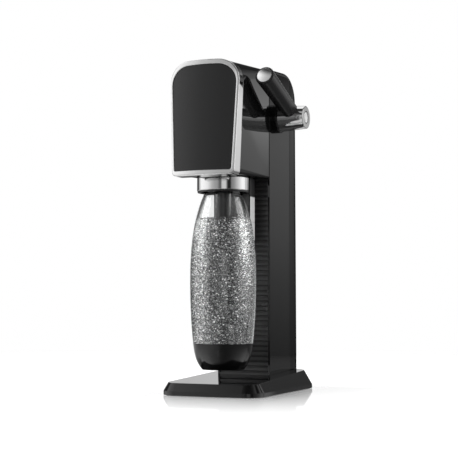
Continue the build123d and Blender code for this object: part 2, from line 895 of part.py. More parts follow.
def make_neck_clip():
    inner = neck_radius + clip_gap
    return ring_z(ring_bore - snug, inner, block_bottom - clip_height, block_bottom, 0, bottle_y)


def make_nozzle_block():
    body = rod_z(ring_bore - snug, block_bottom, ring_top, 0, bottle_y)
    body += rod_z(ring_bore + block_flange, ring_top, ring_top + block_rise, 0, bottle_y)
    return fillet(body.edges().group_by(Axis.Z)[-1], block_round)


def make_nozzle():
    points = [
        (0, block_bottom),
        (nozzle_radius, block_bottom),
        (nozzle_radius, nozzle_waist),
        (nozzle_point_radius, nozzle_point),
        (0, nozzle_point),
    ]
    return turned(points, bottle_y)


def make_nozzle_tip():
    tip = rod_z(tip_radius, nozzle_point - tip_length, nozzle_point, 0, bottle_y)
    return fillet(tip.edges().group_by(Axis.Z)[0], tip_round)


def make_bottle_seal():
    return ring_z(neck_radius - seal_inset, nozzle_radius + snug, bottle_top, block_bottom, 0, bottle_y)


def make_pivot_pins():
    pins = []
    for side in (-1, 1):
        low, high = sorted((side * (ring_bore + pin_root), side * (lug_end - pin_short)))
        pins.append(rod_x(pivot_radius, low, high, pivot_y, pivot_z))
    return pins


def arm_piece(z_from, z_to):
    half = arm_width / 2
    bar = block(-half, half, arm_front, arm_rear, z_from, z_to)
    bar = fillet(bar.edges().filter_by(Axis.Z), arm_corner)
    return bar - rod_z(waist_radius + arm_hollow, 0, beyond, 0, bottle_y)


def make_holder_arm():
    return arm_piece(arm_seam, bridge_top - bridge)


def make_arm_shoe():
    return arm_piece(arm_foot, arm_seam - part_gap)


nodes = {
    "base_shell": make_base_shell(),
    "base_bottom_plate": make_bottom_plate(),
    "rubber_feet": make_feet(),
    "base_screws": make_screws(),
    "column_shell": make_column_shell(),
    "ribbed_front_panel": make_ribbed_panel(),
    "rear_cover": make_rear_cover(),
    "chrome_bezel": make_bezel(),
    "front_panel": make_front_panel(),
    "head_housing": make_head_housing(),
    "head_underside": make_head_underside(),
    "pivot_lugs": make_pivot_lugs(),
    "hub_flange": make_hub_flange(),
    "lever_barrel": make_barrel(),
    "hub_end_cap": make_hub_cap(),
    "lever_grip": make_grip(),
    "grip_end_cap": make_grip_cap(),
    "lever_shaft": make_shaft(),
    "lever_cam": make_cam(),
    "shaft_bushes": make_bushes(),
    "inner_frame": make_inner_frame(),
    "valve_body": make_valve_body(),
    "valve_plunger": make_plunger(),
    "relief_valve": make_relief_valve(),
    "gas_tube": make_gas_tube(),
    "gas_cylinder": make_cylinder(),
    "cylinder_valve": make_cylinder_valve(),
    "cylinder_seat": make_cylinder_seat(),
    "bottle": make_bottle(),
    "bottle_cup": make_bottle_cup(),
    "holder_ring": make_holder_ring(),
    "collar": make_collar(),
    "collar_lip": make_collar_lip(),
    "neck_clip": make_neck_clip(),
    "nozzle_block": make_nozzle_block(),
    "nozzle": make_nozzle(),
    "nozzle_tip": make_nozzle_tip(),
    "bottle_seal": make_bottle_seal(),
    "pivot_pins": make_pivot_pins(),
    "holder_arm": make_holder_arm(),
    "arm_shoe": make_arm_shoe(),
}

# The origin is the middle of the whole footprint, on the table.
outermost = Compound([nodes["base_shell"], nodes["lever_barrel"], nodes["chrome_bezel"]])
footprint = outermost.bounding_box().center()
place = Pos(-footprint.X, -footprint.Y, 0)

os.makedirs("parts", exist_ok=True)
for name, shape in nodes.items():
    pieces = shape if isinstance(shape, list) else [shape]
    placed = Compound([place * piece for piece in pieces]) if len(pieces) > 1 else place * pieces[0]
    export_step(placed, f"parts/{name}.step")
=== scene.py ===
import itertools
import math
import random

import bpy
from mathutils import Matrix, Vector


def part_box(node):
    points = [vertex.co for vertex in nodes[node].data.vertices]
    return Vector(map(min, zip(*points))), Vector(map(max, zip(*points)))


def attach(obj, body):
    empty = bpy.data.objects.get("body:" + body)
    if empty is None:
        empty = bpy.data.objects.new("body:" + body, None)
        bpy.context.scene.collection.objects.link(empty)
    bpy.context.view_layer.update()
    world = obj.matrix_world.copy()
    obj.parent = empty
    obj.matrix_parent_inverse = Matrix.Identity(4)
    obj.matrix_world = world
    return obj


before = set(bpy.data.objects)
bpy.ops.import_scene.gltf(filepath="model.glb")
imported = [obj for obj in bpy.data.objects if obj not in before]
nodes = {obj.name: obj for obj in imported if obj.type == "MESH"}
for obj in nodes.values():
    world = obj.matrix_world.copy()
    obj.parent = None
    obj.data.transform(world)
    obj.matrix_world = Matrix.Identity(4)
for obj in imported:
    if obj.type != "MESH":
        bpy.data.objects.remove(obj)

scene = bpy.context.scene
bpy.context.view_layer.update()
print("frame loaded:", len(nodes), "nodes")

bottleLow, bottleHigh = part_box("bottle")
axisX = (bottleLow.x + bottleHigh.x) / 2
axisY = (bottleLow.y + bottleHigh.y) / 2
fullTurn = 2 * math.pi
black = (0, 0, 0)
white = (1, 1, 1)


def grey(tone):
    return (tone, tone, tone)


class Wire:
    # a socket that can be added, multiplied and so on
    def __init__(self, sheet, socket):
        self.sheet = sheet
        self.socket = socket

    def maths(self, operation, first, second):
        return self.sheet.add("Math", {"operation": operation}, {0: first, 1: second})

    def __add__(self, other):
        return self.maths("ADD", self, other)

    def __radd__(self, other):
        return self.maths("ADD", other, self)

    def __sub__(self, other):
        return self.maths("SUBTRACT", self, other)

    def __rsub__(self, other):
        return self.maths("SUBTRACT", other, self)

    def __mul__(self, other):
        return self.maths("MULTIPLY", self, other)

    def __rmul__(self, other):
        return self.maths("MULTIPLY", other, self)

    def __truediv__(self, other):
        return self.maths("DIVIDE", self, other)

    def __rtruediv__(self, other):
        return self.maths("DIVIDE", other, self)


class Sheet:
    # one node tree, and the only place that makes nodes
    def __init__(self, tree):
        self.tree = tree
        tree.nodes.clear()

    def add(self, kind, settings=None, sockets=None, out=0):
        node = self.tree.nodes.new("ShaderNode" + kind)
        for key, value in (settings or {}).items():
            if key == "stops":
                self.setStops(node.color_ramp, value)
            else:
                setattr(node, key, value)
        for key, value in (sockets or {}).items():
            self.join(value, node.inputs[key])
        return Wire(self, node.outputs[out]) if len(node.outputs) else None

    def setStops(self, ramp, stops):
        while len(ramp.elements) < len(stops):
            ramp.elements.new(0.5)
        for stop, (place, tone) in zip(ramp.elements, stops):
            stop.position = place
            stop.color = (*grey(tone), 1)

    def join(self, value, socket):
        if isinstance(value, Wire):
            self.tree.links.new(value.socket, socket)
        elif isinstance(value, tuple) and socket.type == "RGBA":
            socket.default_value = (*value, 1)
        else:
            socket.default_value = value

    # values
    def fade(self, value, low, high, start=0.0, end=1.0):
        return self.add(
            "MapRange",
            {"interpolation_type": "SMOOTHSTEP"},
            {"Value": value, "From Min": low, "From Max": high, "To Min": start, "To Max": end},
        )

    def larger(self, first, second):
        return self.add("Math", {"operation": "MAXIMUM"}, {0: first, 1: second})

    def absolute(self, value):
        return self.add("Math", {"operation": "ABSOLUTE"}, {0: value})

    # colours
    def tint(self, factor, first, second):
        return self.add("Mix", {"data_type": "RGBA"}, {0: factor, 6: first, 7: second}, 2)

    def ramp(self, stops, factor):
        return self.add("ValToRGB", {"stops": stops}, {"Fac": factor})

    # vectors
    def place(self, scale=(1, 1, 1)):
        return self.vector("MULTIPLY", self.add("TexCoord", out="Object"), scale)

    def facing(self):
        return self.add("TexCoord", out="Normal")

    def vector(self, operation, first, second):
        return self.add("VectorMath", {"operation": operation}, {0: first, 1: second})

    def dot(self, first, second):
        return self.add("VectorMath", {"operation": "DOT_PRODUCT"}, {0: first, 1: second}, "Value")

    def length(self, vector):
        return self.add("VectorMath", {"operation": "LENGTH"}, {0: vector}, "Value")

    def along(self, axis, vector):
        return self.add("SeparateXYZ", None, {0: vector}, axis)

    # relief
    def grain(self, size, scale=(1, 1, 1), detail=3.0):
        sockets = {"Vector": self.place(scale), "Scale": 1 / size, "Detail": detail}
        return self.add("TexNoise", None, sockets)

    def rounded(self, radius):
        return self.add("Bevel", {"samples": 4}, {"Radius": radius})

    def bump(self, height, strength, depth, over=None):
        sockets = {"Strength": strength, "Distance": depth, "Height": height}
        if over:
            sockets["Normal"] = over
        return self.add("Bump", None, sockets)

    # shaders
    def principled(self, sockets):
        return self.add("BsdfPrincipled", None, sockets)

    def blend(self, factor, first, second):
        return self.add("MixShader", None, {0: factor, 1: first, 2: second})

    def show(self, shader):
        self.add("OutputMaterial", None, {"Surface": shader})


looks = {}


def newFinish(name):
    material = bpy.data.materials.new(name)
    material.use_nodes = True
    looks[name] = material
    return Sheet(material.node_tree)


# moulded plastics, with lengths in metres
plasticDetail = {
    "cloud": 0.045,  # broad uneven patches
    "cloudSteps": 4,
    "smudged": (0.4, 0.75),
    "lighten": (1.25, 0.001),
    "speck": 0.0016,
    "speckSteps": 2,
    "dust": (0.66, 0.8),
    "dustRough": 0.04,
    "peelDepth": 0.001,
}
glossSettings = {
    "colour": (0.0045, 0.0045, 0.0047), "rough": 0.02, "smudge": 0.02, "peel": 0.006, "edge": 0.0009,
}
plasticSettings = {
    "glossBlack": glossSettings,
    "headBlack": {**glossSettings, "ior": 1.7},
    "panelBlack": {
        "colour": (0.013, 0.013, 0.0135), "rough": 0.16, "smudge": 0.03, "peel": 0.006, "edge": 0.0005,
    },
    "satinBlack": {
        "colour": (0.015, 0.015, 0.0155), "rough": 0.3, "smudge": 0.08, "peel": 0.12, "edge": 0.0006,
        "peelSize": 0.0009,
    },
    "gripBlack": {
        "colour": (0.011, 0.011, 0.0114), "rough": 0.24, "smudge": 0.06, "peel": 0.06, "edge": 0.0008,
        "peelSize": 0.0008,
    },
    # painted light: a lighter copy of the black plastic, brightening the ribs in the shade under the head
    "paintedLightRibBlack": {
        "colour": (0.055, 0.055, 0.056), "rough": 0.24, "smudge": 0.06, "peel": 0.08, "edge": 0.0006,
        "peelSize": 0.0009,
    },
    "underBlack": {
        "colour": (0.008, 0.008, 0.0083), "rough": 0.2, "smudge": 0.06, "peel": 0.02, "edge": 0.0006,
        "ior": 1.2,
    },
    "nozzleGrey": {
        "colour": (0.06, 0.06, 0.06), "rough": 0.1, "smudge": 0.04, "peel": 0.02, "edge": 0.0006,
        "peelSize": 0.0009,
    },
    "cupBlack": {
        "colour": (0.005, 0.005, 0.0052), "rough": 0.1, "smudge": 0.03, "peel": 0.01, "edge": 0.0006,
    },
    "naturalNylon": {
        "colour": (0.62, 0.6, 0.55), "rough": 0.42, "smudge": 0.1, "peel": 0.05, "edge": 0.0004,
    },
    "softRubber": {
        "colour": (0.02, 0.02, 0.02), "rough": 0.75, "smudge": 0.1, "peel": 0.2, "edge": 0.0005,
        "peelSize": 0.0006,
    },
    "greyPaint": {
        "colour": (0.34, 0.36, 0.38), "rough": 0.32, "smudge": 0.06, "peel": 0.05, "edge": 0.0005,
        "peelSize": 0.0012,
    },
}


def mouldedFinish(name, colour, rough, smudge, peel, edge, peelSize=0.0028, ior=1.5):
    sheet = newFinish(name)
    cloud = sheet.grain(plasticDetail["cloud"], detail=plasticDetail["cloudSteps"])
    speck = sheet.grain(plasticDetail["speck"], detail=plasticDetail["speckSteps"])
    dust = sheet.fade(speck, *plasticDetail["dust"])
    smudged = sheet.fade(cloud, *plasticDetail["smudged"])
    times, more = plasticDetail["lighten"]
    lighter = tuple(c * times + more for c in colour)
    bump = sheet.bump(sheet.grain(peelSize), peel, plasticDetail["peelDepth"], sheet.rounded(edge))
    shader = sheet.principled(
        {
            "Base Color": sheet.tint(cloud, colour, lighter),
            "Roughness": rough + smudge * smudged + plasticDetail["dustRough"] * dust,
            "Normal": bump,
            "IOR": ior,
        }
    )
    sheet.show(shader)


for name, settings in plasticSettings.items():
    mouldedFinish(name, **settings)

# the rear cover gets a matt, darker band along its rounded rear edges: painted shade on those edges
coverSettings = {
    "foot": 0.11886,  # how far back the cover reaches at its foot
    "lean": 0.00816,
    "width": 0.0105,
    "blur": 0.0005,
    "flatBack": (0.9, 0.97),  # how squarely the flat back faces the rear
    "glossRough": (0.02, 0.03),
    "mattRough": (0.6, 0.1),
    "rimShadeColour": (0.004, 0.004, 0.0042),
    "rimShadeShine": 0.1,
    "ior": 1.3,
}


def coverFinish(foot, lean, width, blur, flatBack, glossRough, mattRough, rimShadeColour, rimShadeShine, ior):
    sheet = newFinish("coverBlack")
    cloud = sheet.grain(plasticDetail["cloud"], detail=plasticDetail["cloudSteps"])
    gloss = sheet.principled(
        {
            "Base Color": glossSettings["colour"],
            "Roughness": glossRough[0] + glossRough[1] * cloud,
            "Normal": sheet.rounded(glossSettings["edge"]),
            "IOR": ior,
        }
    )
    # painted shade: the band's darker colour and weak shine stand for the shade on the rounded rear edges
    matt = sheet.principled(
        {
            "Base Color": rimShadeColour,
            "Roughness": mattRough[0] + mattRough[1] * cloud,
            "Specular IOR Level": rimShadeShine,
        }
    )
    behind = sheet.along("Y", sheet.place()) + lean * sheet.along("Z", sheet.place())
    near = sheet.fade(behind, foot - width - blur, foot - width + blur)
    rim = near * sheet.fade(sheet.along("Y", sheet.facing()), *flatBack, 1, 0)
    sheet.show(sheet.blend(rim, gloss, matt))


coverFinish(**coverSettings)

# metals, brushed along the axis that has the small share
metalDetail = {
    "cloud": 0.03,
    "cloudSteps": 4,
    "clouded": (0.35, 0.75),
    "cloudRough": 0.03,
    "darken": 0.9,
    "lineSteps": 2,
    "lineDepth": 0.0004,
    "lineRough": 0.12,
}
metalSettings = {
    "brightChrome": {"colour": (0.92, 0.92, 0.92), "rough": 0.02, "edge": 0.0018},
    "turnedChrome": {
        "colour": (0.9, 0.9, 0.9), "rough": 0.03, "brush": (0.02, 1, 1), "brushSize": 0.0005,
        "depth": 0.01,
    },
    "brushedCollar": {
        "colour": (0.78, 0.78, 0.78), "rough": 0.05, "brush": (0.03, 0.03, 1), "brushSize": 0.0003,
        "depth": 0.05,
    },
    "brushedCap": {
        "colour": (0.95, 0.95, 0.95), "rough": 0.14, "brush": (1, 0.05, 0.05), "depth": 0.05,
        "dome": ("grip_end_cap", 9.0),  # the cap swells towards its middle
    },
    "turnedSteel": {
        "colour": (0.56, 0.56, 0.57), "rough": 0.24, "brush": (1, 1, 0.1), "brushSize": 0.0005,
        "depth": 0.1,
    },
    "machinedBrass": {
        "colour": (0.74, 0.55, 0.26), "rough": 0.22, "brush": (1, 1, 0.1), "brushSize": 0.0005,
        "depth": 0.08,
    },
}


def fromMiddle(sheet, node):
    low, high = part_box(node)
    return sheet.vector("SUBTRACT", sheet.place(), (low + high) / 2)


def metalFinish(
    name, colour, rough, brush=(1, 1, 1), brushSize=0.0004, depth=0.0, edge=0.0006, dome=None,
):
    sheet = newFinish(name)
    cloud = sheet.grain(metalDetail["cloud"], detail=metalDetail["cloudSteps"])
    clouded = sheet.fade(cloud, *metalDetail["clouded"])
    lines = sheet.grain(brushSize, brush, detail=metalDetail["lineSteps"])
    form = sheet.rounded(edge)
    if dome:
        node, swell = dome
        away = sheet.length(fromMiddle(sheet, node))
        form = sheet.bump(away * away * -swell, 1.0, 1.0, form)
    darker = tuple(c * metalDetail["darken"] for c in colour)
    clouds = metalDetail["cloudRough"] * clouded
    shader = sheet.principled(
        {
            "Base Color": sheet.tint(cloud, darker, colour),
            "Metallic": 1.0,
            "Roughness": rough + clouds + metalDetail["lineRough"] * depth * lines,
            "Normal": sheet.bump(lines, depth, metalDetail["lineDepth"], form),
        }
    )
    sheet.show(shader)


for name, settings in metalSettings.items():
    metalFinish(name, **settings)

# fine lines that the hub's end and the arm share
lineSettings = {"size": 0.0004, "steps": 2, "strength": 0.04, "depth": 0.0004}


def fineLines(sheet, brush):
    lines = sheet.grain(lineSettings["size"], brush, lineSettings["steps"])
    return lines, sheet.bump(lines, lineSettings["strength"], lineSettings["depth"])


# the hub's chrome end is painted: a bright disc stands for its reflection of the white wall, inside a
# dark ring of painted reflection round its rim, by shares of its radius
hubSettings = {
    "paintedReflectionDisc": (0.95, 0.95, 0.95),
    "ring": (0.02, 0.02, 0.02),
    "inner": 0.8,
    "outer": 0.97,
    "blur": 0.02,
    "brush": (1, 0.05, 1),
    "metal": 0.1,
    "rough": (0.16, 0.06),
}


def hubFinish(paintedReflectionDisc, ring, inner, outer, blur, brush, metal, rough):
    sheet = newFinish("paintedReflectionHub")
    low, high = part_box("hub_end_cap")
    radius = (high.z - low.z) / 2
    sideways = sheet.vector("MULTIPLY", fromMiddle(sheet, "hub_end_cap"), (0, 1, 1))
    away = sheet.length(sideways) / radius
    mask = sheet.fade(away, inner - blur, inner + blur) * sheet.fade(away, outer + blur, outer - blur)
    lines, bump = fineLines(sheet, brush)
    # painted reflection: a bright, nearly non-metal disc in a dark ring, in place of the chrome's own
    # reflections
    shader = sheet.principled(
        {
            "Base Color": sheet.tint(mask, paintedReflectionDisc, ring),
            "Metallic": metal - metal * mask,
            "Roughness": rough[0] + rough[1] * lines,
            "Normal": bump,
        }
    )
    sheet.show(shader)


hubFinish(**hubSettings)

# the arm is silver at its sides below the clip, and black elsewhere
armSettings = {
    "silver": (0.95, 0.95, 0.95),
    "dark": (0.012, 0.012, 0.0124),
    "clipFoot": 0.2535,
    "blur": 0.0006,
    "sideways": (0.75, 0.9),
    "brush": (1, 1, 0.05),
    "metal": 0.3,
    "rough": (0.28, 0.05),
    "smoother": 0.04,  # on the silver
}


def armFinish(silver, dark, clipFoot, blur, sideways, brush, metal, rough, smoother):
    sheet = newFinish("silverEdgedArm")
    side = sheet.fade(sheet.absolute(sheet.along("X", sheet.facing())), *sideways)
    mask = side * sheet.fade(sheet.along("Z", sheet.place()), clipFoot - blur, clipFoot, 1, 0)
    lines, bump = fineLines(sheet, brush)
    shader = sheet.principled(
        {
            "Base Color": sheet.tint(mask, dark, silver),
            "Metallic": metal * mask,
            "Roughness": rough[0] - smoother * mask + rough[1] * lines,
            "Normal": bump,
        }
    )
    sheet.show(shader)


armFinish(**armSettings)

# clear bottle and water
clearSettings = {
    "clearPlastic": {"colour": (0.92, 0.925, 0.925), "ior": 1.45, "ripple": 0.03},
    "water": {"colour": (0.98, 0.99, 0.99), "ior": 1.33, "ripple": 0.05},
}
waveSettings = {"size": 0.02, "stretch": (1, 1, 0.4), "steps": 2, "depth": 0.001, "rough": 0.02}


def clearFinish(name, colour, ior, ripple):
    sheet = newFinish(name)
    wave = sheet.grain(waveSettings["size"], waveSettings["stretch"], waveSettings["steps"])
    shader = sheet.principled(
        {
            "Base Color": colour,
            "Transmission Weight": 1.0,
            "IOR": ior,
            "Roughness": waveSettings["rough"] * wave,
            "Normal": sheet.bump(wave, ripple, waveSettings["depth"]),
        }
    )
    sheet.show(shader)


for name, settings in clearSettings.items():
    clearFinish(name, **settings)

# bubbles carry painted light: their colour is lighter at the bottle's flanks towards the top, and they
# glow with painted light on the left, on the right towards the top, just under the water's surface and in
# random glints; the mist also has a weak painted glow everywhere
bubbleShades = {
    "bubbleSkin": {"top": (0.07, 0.19), "dark": 0.7, "glow": 0.0, "flankGlow": 0.3},
    "mistSkin": {"top": (0.0, 0.1), "dark": 0.8, "glow": 0.3, "flankGlow": 0.2},
}
bubbleLights = {
    "across": (0.916, 0.402),  # level line from the left flank to the right one
    "flank": (0.011, 0.02),
    "left": (-0.028, -0.014, 0.7),  # from, to and strength
    "right": (0.014, 0.022, 1.0),
    "rightRise": (0.1, 0.215),
    "under": (0.195, 0.215, 0.4),  # just under the water's surface
    "shine": [(0.0, 0.2), (0.45, 0.6), (1.0, 0.98)],  # from the dullest bubble to the brightest
    "glintFrom": 0.8,
    "glints": 0.9,
    "rough": (0.15, 0.1),
}


def bubbleFinish(name, top, dark, glow, flankGlow):
    sheet = newFinish(name)
    chance = sheet.add("NewGeometry", out="Random Per Island")
    spot = sheet.place()
    acrossX, acrossY = bubbleLights["across"]
    across = sheet.dot(spot, (acrossX, acrossY, 0)) - (acrossX * axisX + acrossY * axisY)
    side = sheet.fade(sheet.absolute(across), *bubbleLights["flank"])
    rise = sheet.along("Z", spot)
    height = sheet.fade(rise, *top)
    leftLow, leftHigh, leftGlow = bubbleLights["left"]
    rightLow, rightHigh, rightGlow = bubbleLights["right"]
    underLow, underHigh, underGlow = bubbleLights["under"]
    onLeft = sheet.fade(across, leftLow, leftHigh, leftGlow, 0)
    onRight = sheet.fade(across, rightLow, rightHigh, 0, rightGlow)
    onRight = onRight * sheet.fade(rise, *bubbleLights["rightRise"])
    lit = onLeft + onRight + sheet.fade(rise, underLow, underHigh, 0, underGlow)
    shine = sheet.ramp(bubbleLights["shine"], chance)
    glint = sheet.ramp([(0.0, glow), (bubbleLights["glintFrom"], glow), (1.0, 1.0)], chance)
    rough, rougher = bubbleLights["rough"]
    # painted light: the colour is lighter at the flanks towards the top, and the emission is a painted
    # glow and painted glints
    shader = sheet.principled(
        {
            "Base Color": sheet.tint(dark + (1 - dark) * side * height, black, shine),
            "Roughness": rough + rougher * chance,
            "Emission Color": sheet.tint(flankGlow * side * height + lit, glint, white),
            "Emission Strength": bubbleLights["glints"],
        }
    )
    sheet.show(shader)


for name, settings in bubbleShades.items():
    bubbleFinish(name, **settings)

finishes = {
    "glossBlack": ["base_shell", "column_shell", "hub_flange"],
    "underBlack": ["head_underside"],
    "headBlack": ["head_housing"],
    "coverBlack": ["rear_cover"],
    "panelBlack": ["front_panel"],
    "satinBlack": [
        "base_bottom_plate", "pivot_lugs", "inner_frame", "cylinder_seat",
        "holder_ring", "collar_lip", "neck_clip", "nozzle_block",
    ],
    "paintedLightRibBlack": ["ribbed_front_panel"],
    "nozzleGrey": ["nozzle", "nozzle_tip"],
    "gripBlack": ["lever_grip"],
    "cupBlack": ["bottle_cup"],
    "brightChrome": ["chrome_bezel"],
    "silverEdgedArm": ["holder_arm", "arm_shoe"],
    "turnedChrome": ["lever_barrel"],
    "paintedReflectionHub": ["hub_end_cap"],
    "brushedCollar": ["collar"],
    "brushedCap": ["grip_end_cap"],
    "turnedSteel": ["base_screws", "lever_shaft", "valve_plunger", "pivot_pins"],
    "machinedBrass": ["valve_body", "relief_valve", "cylinder_valve"],
    "naturalNylon": ["lever_cam", "shaft_bushes", "gas_tube"],
    "greyPaint": ["gas_cylinder"],
    "softRubber": ["rubber_feet", "bottle_seal"],
    "clearPlastic": ["bottle"],
}
for look, names in finishes.items():
    for name in names:
        nodes[name].data.materials.clear()
        nodes[name].data.materials.append(looks[look])
print("finishes:", len(finishes))


def newShape(name, points, faces, look):
    mesh = bpy.data.meshes.new(name)
    mesh.from_pydata(points, [], faces)
    mesh.materials.append(looks[look])
    shape = bpy.data.objects.new(name, mesh)
    scene.collection.objects.link(shape)
    return shape


def addPiece(name, points, faces, look, body):
    piece = newShape(name, points, faces, look)
    piece.data.shade_smooth()
    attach(piece, body)


# the water in the bottle, turned from the bottle's inner wall
waterSettings = {
    "level": 0.2217,
    "foot": 0.0035,
    "steps": 60,
    "sides": 96,
    "soak": 0.0004,  # how far the water reaches into the wall
    "core": 0.0004,
    "lift": 0.0002,
    "meniscus": 0.0008,
    "rimSteps": (0.0, 0.0008, 0.002, 0.004),
}


def innerRadius(z):
    spot = nodes["bottle"].ray_cast(Vector((axisX, axisY, z)), Vector((1, 0, 0)))[1]
    return spot.x - axisX


def lathe(profile, sides):
    points = []
    faces = []
    for r, z in profile:
        for i in range(sides):
            turn = fullTurn * i / sides
            points.append((axisX + r * math.cos(turn), axisY + r * math.sin(turn), z))
    for ring in range(len(profile) - 1):
        lower = ring * sides
        upper = lower + sides
        for i in range(sides):
            k = (i + 1) % sides
            faces.append((lower + i, lower + k, upper + k, upper + i))
    return points, faces


def makeWater(level, foot, steps, sides, soak, core, lift, meniscus, rimSteps):
    low = bottleLow.z + foot
    profile = [(core, low)]
    for i in range(steps + 1):
        z = low + (level - low) * i / steps
        profile.append((innerRadius(z + lift) + soak, z))
    rim = profile[-1][0]
    for inward in rimSteps:
        profile.append((rim - inward, level + meniscus * (1 - inward / rimSteps[-1]) ** 2))
    profile.append((core, level))
    points, faces = lathe(profile, sides)
    faces.append(tuple(reversed(range(sides))))
    faces.append(tuple(range(len(points) - sides, len(points))))
    addPiece("water", points, faces, "water", "flask")


makeWater(**waterSettings)

# bubbles hanging in the water, between two shares of the bottle's inner radius
bubbleSettings = {
    "bubbles": {
        "count": 5600, "small": 0.00026, "large": 0.0009, "inner": 0.0, "outer": 0.72,
        "fine": False, "skin": "bubbleSkin", "seed": 7,
    },
    "mist": {
        "count": 17000, "small": 0.00018, "large": 0.00036, "inner": 0.74, "outer": 0.975,
        "fine": True, "skin": "mistSkin", "seed": 8,
    },
}
fillSettings = {
    "foot": 0.006,
    "top": 0.001,
    "steps": 40,
    "nozzleRoom": 0.0135,  # radius kept free round the nozzle
    "nozzleDrop": 0.002,
    "spread": 0.8,
    "sizes": 2.2,  # higher for more of the small ones
}


def ballShape(fine):
    golden = (1 + 5 ** 0.5) / 2
    corners = []
    for a in (-1, 1):
        if fine:
            corners += [(a, 0, 0), (0, a, 0), (0, 0, a)]
            continue
        for b in (-golden, golden):
            corners += [(a, b, 0), (0, a, b), (b, 0, a)]
    corners = [Vector(c).normalized() for c in corners]
    reach = min((corners[0] - c).length for c in corners[1:]) * 1.1  # a little over one edge
    faces = []
    for i, j, k in itertools.combinations(range(len(corners)), 3):
        first, second, third = corners[i], corners[j], corners[k]
        if max((first - second).length, (second - third).length, (third - first).length) < reach:
            outward = (second - first).cross(third - first).dot(first) > 0
            faces.append((i, j, k) if outward else (i, k, j))
    return corners, faces


# the mist is thickest at the two flanks, on the right only towards the top
mistSettings = {
    "front": -1.157,  # turn of the side between the flanks
    "flank": (0.5, 1.4),  # how far round from there a flank starts and ends
    "middle": 0.32,
    "behind": 0.39,
    "foot": 0.4,  # share at the foot, against 1 at the top
}


def mistShare(turn, rise):
    away = math.remainder(turn - mistSettings["front"], fullTurn)
    inner, outer = mistSettings["flank"]
    upward = mistSettings["foot"] + (1 - mistSettings["foot"]) * rise
    if abs(away) > outer:
        return mistSettings["behind"] * upward
    if abs(away) < inner:
        return mistSettings["middle"] * upward
    return 1 if away < 0 else upward


def makeBubbles(name, count, small, large, inner, outer, fine, skin, seed):
    chance = random.Random(seed)
    corners, ball = ballShape(fine)
    low = bottleLow.z + fillSettings["foot"]
    high = waterSettings["level"] - fillSettings["top"]
    steps = fillSettings["steps"]
    radii = [innerRadius(low + (high - low) * i / steps) for i in range(steps + 1)]
    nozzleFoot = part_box("nozzle_tip")[0].z - fillSettings["nozzleDrop"]
    points = []
    faces = []
    made = 0
    while made < count:
        z = low + (high - low) * chance.random()
        rise = (z - low) / (high - low)
        spread = chance.random() ** fillSettings["spread"]
        away = radii[round(rise * steps)] * (inner ** 2 + (outer ** 2 - inner ** 2) * spread) ** 0.5
        if z > nozzleFoot and away < fillSettings["nozzleRoom"]:
            continue
        turn = fullTurn * chance.random()
        if fine and chance.random() > mistShare(turn, rise):
            continue
        size = small + (large - small) * chance.random() ** fillSettings["sizes"]
        centre = Vector((axisX + away * math.cos(turn), axisY + away * math.sin(turn), z))
        first = len(points)
        points += [centre + c * size for c in corners]
        faces += [tuple(first + i for i in face) for face in ball]
        made += 1
    addPiece(name, points, faces, skin, "flask")


for name, settings in bubbleSettings.items():
    makeBubbles(name, **settings)
print("bottle filled")

# camera
cameraSettings = {
    "spot": (0.62133, -1.46254, 0.1185),
    "tilt": 3.38,
    "turn": 23.71,
    "lens": 95.26,
    "sensor": 36.0,
    "far": 50,
}


def makeCamera(spot, tilt, turn, lens, sensor, far):
    data = bpy.data.cameras.new("camera")
    data.sensor_width = sensor
    data.lens = lens
    data.clip_end = far
    camera = bpy.data.objects.new("camera", data)
    camera.location = spot
    camera.rotation_euler = (math.radians(90 + tilt), 0, math.radians(turn))
    scene.collection.objects.link(camera)
    scene.camera = camera


makeCamera(**cameraSettings)

# studio: bright walls at both sides, dark towards the camera and behind, white straight behind the object
# heights run from -1 straight down to 1 straight up
studioSettings = {
    # tone of the room by the angle from the camera, 0 towards it and 1 behind the object
    "leftSide": [
        (0.0, 0.08), (0.07, 0.12), (0.1, 0.2), (0.14, 0.38), (0.2, 0.43), (0.28, 0.57),
        (0.4, 1.05), (0.5, 1.2), (0.64, 1.27), (0.7, 1.1), (0.75, 0.2), (0.8, 0.12),
        (0.91, 0.08), (0.945, 0.85), (1.0, 1.0),
    ],
    "rightSide": [
        (0.0, 0.06), (0.08, 0.08), (0.17, 0.18), (0.28, 0.37), (0.4, 0.78), (0.52, 1.24),
        (0.62, 1.15), (0.67, 0.7), (0.72, 0.12), (0.9, 0.08), (0.945, 0.85), (1.0, 1.0),
    ],
    "seam": 0.05,  # half width of the blend between the sides
    # upright bands near the camera: place, half width, tone, heights between which they come in
    "bands": [
        (-0.02, 0.06, 0.75, (0.22, 0.14)),
        (-0.15, 0.04, 0.02, (0.22, 0.14)),
        (0.115, 0.019, 0.68, (0.14, 0.2)),
    ],
    "bandEdge": (0.6, 1.4),
    "bandTop": (0.55, 0.45),
    "behind": (0.6, 0.7),  # angles between which the rear half of the room begins
    "lowFront": (-0.08, 0.1, 0.6),  # heights, and the share of light at the lower one
    "lowBack": (-0.1, 0.22, 0.12),
    "ceiling": (0.03, (0.7, 0.86)),  # tone, and the heights between which it comes in
    "corner": ((0.36, 0.46), (0.5, 0.65)),  # dark corner at the right: angles and heights
    "backFlag": (0.26, 0.36),
    "overhead": (1.0, (0.5, 0.62)),
    "clearBack": (0.9, 0.95),  # angles past which clear pieces show the white wall
}


